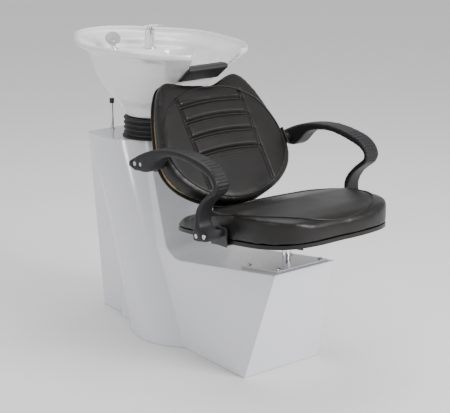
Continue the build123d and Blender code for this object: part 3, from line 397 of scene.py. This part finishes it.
# ---------------------------------------------------------------- making pieces
WRAPPED = {"seat_board": "leather_black"}
MERGE_GAP = 0.00002
SMOOTHING = 0.5
STUFFING_PRESSURE = 4.0
STUFFING_FRAMES = 20
SETTLING_PASSES = 14
RIM_STEPS = 72
WELT_LIFT = 0.0005
WELT_ORDER = 3
WELT_RESOLUTION = 3


class Bench:
    """Steps that every new piece goes through."""

    def __init__(self, frame: dict[str, Any]) -> None:
        """Keep the frame and make the materials.
        """
        self.nodes = frame["nodes"]
        self.materials = {finish.slot: finish.build() for finish in FINISHES}

    @staticmethod
    def only(piece: bpy.types.Object) -> None:
        """Select one object alone and make it active.

        Args:
            piece: The object.
        """
        bpy.ops.object.select_all(action="DESELECT")
        piece.select_set(True)
        bpy.context.view_layer.objects.active = piece

    def copy_of(self, node: str, name: str) -> bpy.types.Object:
        """Copy a fixed node as a closed, merged start for a softer piece.

        Args:
            node: The node's name.
            name: The piece's name.

        Returns:
            The copy.
        """
        self.only(self.nodes[node])
        bpy.ops.object.duplicate()
        piece = bpy.context.view_layer.objects.active
        piece.parent = None
        piece.matrix_world = Matrix.Identity(4)
        piece.name = piece.data.name = name
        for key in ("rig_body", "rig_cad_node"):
            if key in piece:
                del piece[key]
        self.only(piece)
        bpy.ops.object.mode_set(mode="EDIT")
        bpy.ops.mesh.select_all(action="SELECT")
        bpy.ops.mesh.customdata_custom_splitnormals_clear()
        bpy.ops.mesh.remove_doubles(threshold=MERGE_GAP)
        bpy.ops.object.mode_set(mode="OBJECT")
        return piece

    def modify(self, piece: bpy.types.Object, kind: str, **settings: Any) -> None:
        """Add and apply one modifier.

        Args:
            piece: The piece.
            kind: The modifier's type.
            **settings: Its settings.
        """
        self.only(piece)
        modifier = piece.modifiers.new(kind.lower(), kind)
        for key, value in settings.items():
            setattr(modifier, key, value)
        bpy.ops.object.modifier_apply(modifier=modifier.name)

    def round_off(self, piece: bpy.types.Object, voxel: float, passes: int) -> None:
        """Remesh a piece evenly and soften its edges.

        Args:
            piece: The piece.
            voxel: Size of the new faces in metres.
            passes: Smoothing steps.
        """
        self.modify(piece, "REMESH", mode="VOXEL", voxel_size=voxel)
        self.modify(piece, "SMOOTH", factor=SMOOTHING, iterations=passes)

    def swell(
        self, piece: bpy.types.Object, cap: float, still: Callable[[Vector, Vector], float]
    ) -> None:
        """Blow the piece up as cloth and keep a limited part of the swelling.

        Args:
            piece: The remeshed piece.
            cap: Farthest that a point may move, in metres.
            still: Share of the movement allowed at a place with a normal, 0 to 1.
        """
        self.only(piece)
        before = [vertex.co.copy() for vertex in piece.data.vertices]
        normals = [vertex.normal.copy() for vertex in piece.data.vertices]
        cloth = piece.modifiers.new("stuffing", "CLOTH")
        cloth.settings.use_pressure = True
        cloth.settings.uniform_pressure_force = STUFFING_PRESSURE
        cloth.settings.effector_weights.gravity = 0.0
        cloth.point_cache.frame_start, cloth.point_cache.frame_end = 1, STUFFING_FRAMES
        for step in range(1, STUFFING_FRAMES + 1):
            bpy.context.scene.frame_set(step)
        bpy.ops.object.modifier_apply(modifier=cloth.name)
        bpy.context.scene.frame_set(1)
        for vertex, start, normal in zip(piece.data.vertices, before, normals):
            move = vertex.co - start
            if move.length > cap:
                move *= cap / move.length
            vertex.co = start + move * still(start, normal)
        self.modify(piece, "SMOOTH", factor=SMOOTHING, iterations=SETTLING_PASSES)

    def shape(self, piece: bpy.types.Object, push: Callable[[Vector, Vector], Vector]) -> None:
        """Move every point of a piece.

        Args:
            piece: The piece.
            push: Movement for a place and its normal.
        """
        moves = [push(vertex.co, vertex.normal) for vertex in piece.data.vertices]
        for vertex, move in zip(piece.data.vertices, moves):
            vertex.co += move

    @staticmethod
    def trace(pad: bpy.types.Object, casts: Sequence[tuple[Vector, Vector]]) -> list[Vector]:
        """Find where rays meet a pad, just off its surface.

        Args:
            pad: The pad.
            casts: Start and aim of each ray.

        Returns:
            The places that were met.
        """
        line = []
        for start, aim in casts:
            found, place, normal, _ = pad.ray_cast(start, (aim - start).normalized())
            if found:
                line.append(place + normal * WELT_LIFT)
        return line

    def welt(self, name: str, path: Sequence[Vector], radius: float) -> bpy.types.Object:
        """Make a round corded edge along a closed path.

        Args:
            name: The piece's name.
            path: Control points.
            radius: Radius in metres.

        Returns:
            The welt as a mesh.
        """
        curve = bpy.data.curves.new(name, "CURVE")
        curve.dimensions = "3D"
        line = curve.splines.new("NURBS")
        line.points.add(len(path) - 1)
        for point, place in zip(line.points, path):
            point.co = (*place, 1.0)
        line.order_u = WELT_ORDER
        line.use_cyclic_u = True
        curve.bevel_depth = radius
        curve.bevel_resolution = WELT_RESOLUTION
        curve.resolution_u = WELT_RESOLUTION
        piece = bpy.data.objects.new(name, curve)
        bpy.context.scene.collection.objects.link(piece)
        self.only(piece)
        bpy.ops.object.convert(target="MESH")
        return bpy.context.view_layer.objects.active

    def dress(self, piece: bpy.types.Object, slot: str, body: str | None = "base") -> None:
        """Give a piece its finish, smooth shading and body.

        Args:
            piece: The piece.
            slot: The record's material slot.
            body: The body it rides on, or None to leave it on no body.
        """
        piece.data.materials.clear()
        piece.data.materials.append(self.materials[slot])
        self.only(piece)
        bpy.ops.object.shade_smooth()
        if body:
            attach(piece, body)

    def dress_nodes(self, record: dict[str, Any]) -> None:
        """Give every fixed node the finish of its slot, or of the cloth it is wrapped in.

        Args:
            record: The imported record.
        """
        for entry in record["subparts"]:
            node = self.nodes[entry["node"]]
            material = self.materials[WRAPPED.get(entry["node"], entry["material_slot"])]
            if not node.material_slots:
                node.data.materials.append(material)
            for slot in node.material_slots:
                slot.material = material


def bell(x: float, width: float) -> float:
    """Smooth hump of height 1 at zero.

    Args:
        x: Distance from the middle.
        width: Distance at which it has fallen to about a third.

    Returns:
        The height.
    """
    return math.exp(-((x / width) ** 2))


def plateau(x: float, edge: float, fade: float) -> float:
    """Height 1 within an edge that falls smoothly to 0 beyond it.

    Args:
        x: Distance from the middle.
        edge: Distance at which it has fallen to half.
        fade: Length over which it falls.

    Returns:
        The height.
    """
    return 1.0 / (1.0 + math.exp((x - edge) / fade))


def turns(count: int) -> list[float]:
    """Divide a full turn evenly.

    Args:
        count: Number of steps.

    Returns:
        The angles in radians.
    """
    return [2 * math.pi * step / count for step in range(count)]


# ---------------------------------------------------------------- seat
@dataclass
class Seat:
    """Seat cushion with a crowned top and a corded seam; lengths in metres."""

    bench: Bench
    voxel: float = 0.006
    passes: int = 6
    cap: float = 0.006
    swelling_kept: float = 0.8
    underside: float = -0.6
    top: float = 0.5
    crown_height: float = 0.005
    rim_above: float = 0.25
    rim_outside: float = 1.6
    rim_inside: float = 0.80
    welt_r: float = 0.0035

    def build(self) -> None:
        """Make the pad and its welt."""
        low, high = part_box("seat_cushion")
        pad = self.bench.copy_of("seat_cushion", "seat_pad")
        self.bench.round_off(pad, self.voxel, self.passes)

        def allowed(_: Vector, normal: Vector) -> float:
            """Hold the underside still and let the rest swell."""
            return 0.0 if normal.z < self.underside else self.swelling_kept

        self.bench.swell(pad, self.cap, allowed)
        self.bench.modify(pad, "SUBSURF", levels=1, render_levels=1)
        middle = (low + high) / 2
        half_x, half_y = (high.x - low.x) / 2, (high.y - low.y) / 2

        def crown(place: Vector, normal: Vector) -> Vector:
            """Raise the middle of the top and let the edges fall away."""
            if normal.z < self.top:
                return Vector()
            reach = math.hypot((place.x - middle.x) / half_x, (place.y - middle.y) / half_y)
            return Vector((0.0, 0.0, self.crown_height * max(0.0, 1.0 - reach ** 2)))

        self.bench.shape(pad, crown)
        rim = self.rim(pad, middle, half_x, half_y)
        self.bench.dress(pad, "leather_black")
        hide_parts("seat_cushion")
        self.bench.dress(self.bench.welt("seat_welt", rim, self.welt_r), "leather_black")
        LOG.info("seat: %d points", len(pad.data.vertices))

    def rim(
        self, pad: bpy.types.Object, middle: Vector, half_x: float, half_y: float
    ) -> list[Vector]:
        """Find the line where the top meets the side.

        Args:
            pad: The finished pad.
            middle: Middle of its box.
            half_x: Half its width.
            half_y: Half its length.

        Returns:
            Points round the edge.
        """
        casts = []
        for turn in turns(RIM_STEPS):
            ray = Vector((math.cos(turn), math.sin(turn), 0.0))
            far_x, far_y = ray.x * self.rim_outside * half_x, ray.y * self.rim_outside * half_y
            near_x, near_y = ray.x * half_x * self.rim_inside, ray.y * half_y * self.rim_inside
            start = middle + Vector((far_x, far_y, self.rim_above))
            casts.append((start, middle + Vector((near_x, near_y, 0.0))))
        return self.bench.trace(pad, casts)


# ---------------------------------------------------------------- back
@dataclass
class Back:
    """Back cushion with four sewn channels between two side seams; lengths in metres."""

    bench: Bench
    voxel: float = 0.005
    passes: int = 5
    cap: float = 0.005
    swelling_kept: float = 0.8
    swelling_bias: float = 0.6
    lean: float = math.radians(34.0)
    origin: Triple = (0.0, -0.112, 0.639)
    facing_least: float = 0.35
    facing_gain: float = 1.3
    channels: tuple[float, ...] = (0.190, 0.137, 0.081, 0.021)
    channel_depth: float = 0.0100
    channel_width: float = 0.0070
    channel_sag: float = 0.010
    channel_fade: float = 0.003
    seam: float = 0.126
    seam_depth: float = 0.0055
    seam_width: float = 0.005
    seam_reach: tuple[float, float] = (-0.10, 0.215)
    puff: float = 0.003
    puff_reach: tuple[float, float] = (0.0, 0.2)
    rim_centre: float = 0.05
    rim_half_width: float = 0.25
    rim_half_height: float = 0.205
    rim_outside: float = 1.5
    rim_inside: float = 0.82
    rim_ahead: float = 0.12
    rim_behind: float = 0.02
    welt_r: float = 0.003

    def upward(self) -> Vector:
        """Return the direction up along the back."""
        return Vector((0.0, math.sin(self.lean), math.cos(self.lean)))

    def outward(self) -> Vector:
        """Return the direction from the back towards the client."""
        return Vector((0.0, -math.cos(self.lean), math.sin(self.lean)))

    def build(self) -> None:
        """Make the pad, its channels and its welt."""
        pad = self.bench.copy_of("back_cushion", "back_pad")
        self.bench.round_off(pad, self.voxel, self.passes)
        front, up_back, origin = self.outward(), self.upward(), Vector(self.origin)

        def allowed(_: Vector, normal: Vector) -> float:
            """Let the front swell most and the rear not at all."""
            share = max(0.0, min(1.0, normal.dot(front) + self.swelling_bias))
            return share * self.swelling_kept

        self.bench.swell(pad, self.cap, allowed)
        self.bench.modify(pad, "SUBSURF", levels=1, render_levels=1)

        def sew(place: Vector, normal: Vector) -> Vector:
            """Pull the channels and seams in and puff the rows between them."""
            facing = normal.dot(front)
            if facing < self.facing_least:
                return Vector()
            offset = place - origin
            across, up = abs(offset.x), offset.dot(up_back)
            sag = self.channel_sag * min(1.0, (across / self.seam) ** 2)
            within = plateau(across, self.seam, self.channel_fade)
            deep = within * sum(
                self.channel_depth * bell(up - row + sag, self.channel_width)
                for row in self.channels
            )
            if self.seam_reach[0] < up < self.seam_reach[1]:
                deep += self.seam_depth * bell(across - self.seam, self.seam_width)
            puff = within * self.puff if self.puff_reach[0] < up < self.puff_reach[1] else 0.0
            return front * (puff - deep) * min(1.0, facing * self.facing_gain)

        self.bench.shape(pad, sew)
        rim = self.rim(pad)
        self.bench.dress(pad, "leather_black")
        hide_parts("back_cushion")
        self.bench.dress(self.bench.welt("back_welt", rim, self.welt_r), "leather_black")
        LOG.info("back: %d points", len(pad.data.vertices))

    def rim(self, pad: bpy.types.Object) -> list[Vector]:
        """Find the front edge of the pad.

        Args:
            pad: The finished pad.

        Returns:
            Points round the edge.
        """
        front, up, across = self.outward(), self.upward(), Vector((1.0, 0.0, 0.0))
        middle = Vector(self.origin) + up * self.rim_centre
        casts = []
        for turn in turns(RIM_STEPS):
            side = across * math.cos(turn) * self.rim_half_width
            ray = side + up * math.sin(turn) * self.rim_half_height
            start = middle + ray * self.rim_outside + front * self.rim_ahead
            casts.append((start, middle + ray * self.rim_inside - front * self.rim_behind))
        return self.bench.trace(pad, casts)


# ---------------------------------------------------------------- armrests
@dataclass
class Armrest:
    """Moulded armrest with ribs round its front bend; lengths in metres, angles in degrees."""

    bench: Bench
    side: str
    voxel: float = 0.0045
    passes: int = 9
    bend_behind_front: float = 0.052
    bend_below_top: float = 0.072
    bend_core: float = 0.02
    ribs_behind_front: float = 0.125
    facing_least: float = 0.55
    rib_depth: float = 0.0022
    rib_count: float = 9.0
    rib_half_width: float = 0.024
    rib_fade: float = 0.0015
    first: float = -20.0
    last: float = 118.0

    def build(self) -> None:
        """Make the armrest."""
        node = f"arm_{self.side}"
        low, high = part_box(node)
        arm = self.bench.copy_of(node, f"armrest_{self.side}")
        self.bench.round_off(arm, self.voxel, self.passes)
        self.bench.modify(arm, "SUBSURF", levels=1, render_levels=1)
        centre_y, centre_z = low.y + self.bend_behind_front, high.z - self.bend_below_top
        middle_x = (low.x + high.x) / 2
        rear = low.y + self.ribs_behind_front
        pitch = self.last - self.first

        def ribs(place: Vector, normal: Vector) -> Vector:
            """Cut ribs across the outer face of the front bend."""
            radial = Vector((0.0, place.y - centre_y, place.z - centre_z))
            if radial.length < self.bend_core or place.y > rear:
                return Vector()
            if normal.dot(radial.normalized()) < self.facing_least:
                return Vector()
            turn = math.degrees(math.atan2(radial.z, -radial.y))
            if not self.first < turn < self.last:
                return Vector()
            inside = plateau(abs(place.x - middle_x), self.rib_half_width, self.rib_fade)
            wave_angle = math.radians((turn - self.first) * self.rib_count * 360.0 / pitch)
            wave = 0.5 - 0.5 * math.cos(wave_angle)
            return -normal * self.rib_depth * inside * (1.0 - wave) ** 2

        self.bench.shape(arm, ribs)
        self.bench.dress(arm, "arm_black")
        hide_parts(node)
        LOG.info("armrest %s: %d points", self.side, len(arm.data.vertices))


# ---------------------------------------------------------------- bowl, rest and bellows
@dataclass(frozen=True)
class Softened:
    """One fixed node that only gets soft edges."""

    node: str
    name: str
    slot: str
    voxel: float
    passes: int


SOFTENED = (
    Softened("bowl", "glazed_bowl", "china_white", 0.0045, 12),
    Softened("neck_rest", "neck_pad", "rubber_black", 0.0025, 8),
)


@dataclass
class Bowl:
    """Glazed bowl with soft edges, and its rubber neck rest."""

    bench: Bench

    def build(self) -> None:
        """Make the bowl and the neck rest."""
        for soft in SOFTENED:
            piece = self.bench.copy_of(soft.node, soft.name)
            self.bench.round_off(piece, soft.voxel, soft.passes)
            self.bench.dress(piece, soft.slot, "bowl")
            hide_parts(soft.node)
            LOG.info("%s: %d points", soft.name, len(piece.data.vertices))


@dataclass
class Bellows:
    """Rubber bellows between the column and the bowl; lengths in metres."""

    bench: Bench
    folds: int = 4
    fold_points: int = 8
    crest: float = 0.098
    root: float = 0.088
    fullness: float = 0.7
    foot: tuple[tuple[float, float], ...] = ((0.004, 0.0005), (0.0045, 0.003), (0.0, 0.0048))
    folds_start: float = 0.005
    ends_height: float = 0.0055
    wall: float = 0.0025
    weld_gap: float = 0.00005
    steps: int = 96

    def outline(self, low: float, high: float) -> list[tuple[float, float]]:
        """Draw the folded side from the foot up.

        Args:
            low: Height of the foot.
            high: Height of the top.

        Returns:
            Radius and height of each point.
        """
        points = [(self.crest + out, low + up) for out, up in self.foot]
        span = high - low - self.ends_height
        count = self.folds * self.fold_points
        for step in range(count + 1):
            share = step / count
            swing = 0.5 - 0.5 * math.cos(share * self.folds * 2 * math.pi)
            radius = self.root + (self.crest - self.root) * swing ** self.fullness
            points.append((radius, low + self.folds_start + share * span))
        return points

    def build(self) -> None:
        """Spin the folded outline and give it a wall."""
        low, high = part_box("gaiter")
        centre = (low + high) / 2
        outline = self.outline(low.z, high.z)
        mesh = bpy.data.meshes.new("bellows")
        corners = [(centre.x + radius, centre.y, height) for radius, height in outline]
        mesh.from_pydata(corners, [(i, i + 1) for i in range(len(outline) - 1)], [])
        piece = bpy.data.objects.new("bellows", mesh)
        bpy.context.scene.collection.objects.link(piece)
        self.bench.only(piece)
        bpy.ops.object.mode_set(mode="EDIT")
        bpy.ops.mesh.select_all(action="SELECT")
        bpy.ops.mesh.spin(
            steps=self.steps,
            angle=2 * math.pi,
            center=(centre.x, centre.y, 0.0),
            axis=(0.0, 0.0, 1.0),
        )
        bpy.ops.mesh.select_all(action="SELECT")
        bpy.ops.mesh.remove_doubles(threshold=self.weld_gap)
        bpy.ops.mesh.normals_make_consistent(inside=False)
        bpy.ops.object.mode_set(mode="OBJECT")
        self.bench.modify(piece, "SOLIDIFY", thickness=self.wall, offset=-1.0)
        self.bench.dress(piece, "rubber_black", None)
        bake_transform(piece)
        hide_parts("gaiter")
        LOG.info("bellows: %d points", len(piece.data.vertices))


# ---------------------------------------------------------------- studio
@dataclass(frozen=True)
class Lamp:
    """One soft light: its place, its power in watts and its side in metres."""

    name: str
    place: Triple
    power: float
    size: float


LAMPS = (
    Lamp("front", (1.0, -3.5, 2.3), 135.0, 1.5),
    Lamp("left", (-3.4, -0.2, 2.0), 16.0, 0.5),
    Lamp("top", (0.3, 0.6, 3.6), 60.0, 2.4),
)
LAMP_AIM = (0.0, 0.0, 0.5)
FLOOR_SIDE = 60.0
FLOOR_DROP = -0.0005
FLOOR_LOW = (0.90, 0.90, 0.90)
FLOOR_HIGH = (0.93, 0.93, 0.93)
FLOOR_CLOUDS = Noise(0.5)
FLOOR_ROUGHNESS = 0.9
SKY_COLOUR = (1.0, 1.0, 1.0, 1.0)
SKY_STRENGTH = 0.72
SENSOR_WIDTH = 36.0


@dataclass
class Studio:
    """Pale floor, soft lights and the camera; lengths in metres, angles in degrees."""

    eye: Triple = (-2.7216, -3.4719, 1.6772)
    azimuth: float = -38.765
    elevation: float = 15.623
    lens: float = 112.04

    def build(self) -> None:
        """Make the floor, the sky, the lights and the camera."""
        self.floor()
        self.sky()
        for lamp in LAMPS:
            self.light(lamp)
        self.camera()

    @staticmethod
    def floor() -> None:
        """Lay the pale floor just under the unit."""
        bpy.ops.object.select_all(action="DESELECT")
        bpy.ops.mesh.primitive_plane_add(size=FLOOR_SIDE, location=(0.0, 0.0, FLOOR_DROP))
        floor = bpy.context.view_layer.objects.active
        floor.name = "studio_floor"
        graph = Graph("studio_pale")
        graph.feed("Base Color", graph.blend(graph.noise(FLOOR_CLOUDS), FLOOR_LOW, FLOOR_HIGH))
        graph.feed("Roughness", FLOOR_ROUGHNESS)
        floor.data.materials.append(graph.material)
        floor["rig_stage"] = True

    @staticmethod
    def sky() -> None:
        """Light the scene evenly from all round."""
        world = bpy.data.worlds.new("studio")
        world.use_nodes = True
        background = world.node_tree.nodes["Background"]
        background.inputs["Color"].default_value = SKY_COLOUR
        background.inputs["Strength"].default_value = SKY_STRENGTH
        bpy.context.scene.world = world

    @staticmethod
    def light(lamp: Lamp) -> None:
        """Add one soft light aimed at the unit.

        Args:
            lamp: The light.
        """
        data = bpy.data.lights.new(lamp.name, "AREA")
        data.energy, data.size = lamp.power, lamp.size
        piece = bpy.data.objects.new(lamp.name, data)
        piece.location = lamp.place
        aim = Vector(LAMP_AIM) - Vector(lamp.place)
        piece.rotation_euler = aim.to_track_quat("-Z", "Y").to_euler()
        bpy.context.scene.collection.objects.link(piece)

    def camera(self) -> None:
        """Set up the camera."""
        data = bpy.data.cameras.new("camera")
        data.lens, data.sensor_width, data.sensor_fit = self.lens, SENSOR_WIDTH, "HORIZONTAL"
        camera = bpy.data.objects.new("camera", data)
        turn, tip = math.radians(self.azimuth), math.radians(self.elevation)
        ahead = Vector(
            (-math.sin(turn) * math.cos(tip), math.cos(turn) * math.cos(tip), -math.sin(tip))
        )
        camera.location = self.eye
        camera.rotation_euler = ahead.to_track_quat("-Z", "Y").to_euler()
        bpy.context.scene.collection.objects.link(camera)
        bpy.context.scene.camera = camera


def main() -> tuple[Any, Any]:
    """Build every piece in order.

    Returns:
        The box of the fixed frame, lowest and highest corner.
    """
    logging.basicConfig(level=logging.INFO)
    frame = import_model()
    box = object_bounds()
    bench = Bench(frame)
    bench.dress_nodes(frame["record"])
    Seat(bench).build()
    Back(bench).build()
    Armrest(bench, "left").build()
    Armrest(bench, "right").build()
    Bowl(bench).build()
    Bellows(bench).build()
    Studio().build()
    return box


if __name__ == "__main__":
    cad_box = main()
